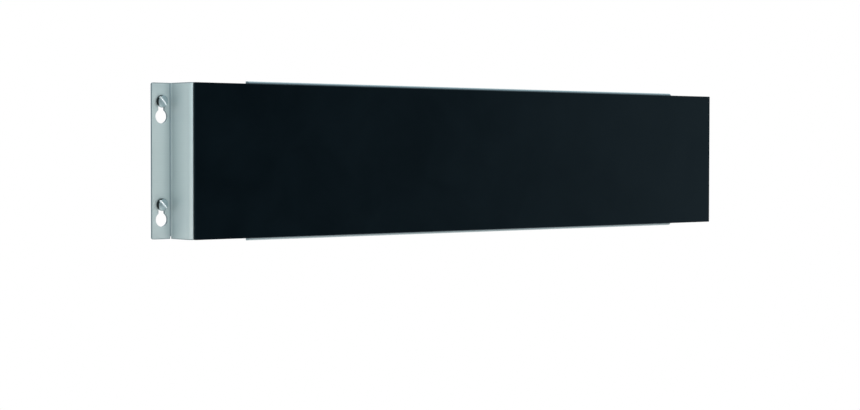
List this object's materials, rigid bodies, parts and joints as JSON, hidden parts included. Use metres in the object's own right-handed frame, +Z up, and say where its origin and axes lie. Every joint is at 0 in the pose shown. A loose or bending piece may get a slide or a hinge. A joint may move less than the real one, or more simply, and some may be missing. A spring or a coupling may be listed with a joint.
{
  "type": "magnetic knife rack",
  "caption": "Wall-mounted magnetic knife rack: long folded steel housing with a flat black face, edge lips, end flanges with keyholes, and magnets and yoke strips behind.",
  "frame": {"origin": "middle of the rectangle of wall screws, in the plane of the wall", "axes": "+X along the rack to the right as seen from the front, +Y into the wall, +Z up"},
  "size_m": [0.5288, 0.0342, 0.1032],
  "materials": {
    "stainless_sheet": "fine satin-ground stainless sheet, darker on its cut edges and inside the folds",
    "black_face": "smooth satin black, faintly blue-green",
    "tape": "dark grey foam acrylic tape",
    "tray_plastic": "moulded dark grey plastic, fine spark texture",
    "ferrite": "sintered grey-black ferrite, ground faces",
    "yoke_steel": "cold-rolled flat steel strip, bare and lightly oiled",
    "stud_steel": "bright stainless thread, heat-tinted round the weld",
    "zinc_plate": "bright zinc plate",
    "screw_steel": "plated cold-headed steel, the slot milled bright"
  },
  "bodies": {
    "wall_screws": {"wall_screw_left_upper": "screw_steel", "wall_screw_left_lower": "screw_steel", "wall_screw_right_upper": "screw_steel", "wall_screw_right_lower": "screw_steel"},
    "rack": {"housing": "stainless_sheet", "face_plate": "black_face", "bonding_tapes": "tape", "magnet_tray_upper": "tray_plastic", "magnet_tray_lower": "tray_plastic", "magnet_upper_01": "ferrite", "magnet_upper_02": "ferrite", "magnet_upper_03": "ferrite", "magnet_upper_04": "ferrite", "magnet_upper_05": "ferrite", "magnet_upper_06": "ferrite", "magnet_upper_07": "ferrite", "magnet_upper_08": "ferrite", "magnet_upper_09": "ferrite", "magnet_upper_10": "ferrite", "magnet_lower_01": "ferrite", "magnet_lower_02": "ferrite", "magnet_lower_03": "ferrite", "magnet_lower_04": "ferrite", "magnet_lower_05": "ferrite", "magnet_lower_06": "ferrite", "magnet_lower_07": "ferrite", "magnet_lower_08": "ferrite", "magnet_lower_09": "ferrite", "magnet_lower_10": "ferrite", "yoke_strip_upper": "yoke_steel", "yoke_strip_lower": "yoke_steel", "weld_studs": "stud_steel", "stud_washers": "zinc_plate", "stud_nuts": "zinc_plate"}
  },
  "joints": [
    {"name": "rack_lift", "type": "slide", "parent": "wall_screws", "child": "rack", "axis": [0, 0, 1], "range_m": [0, 0.01225]}
  ]
}
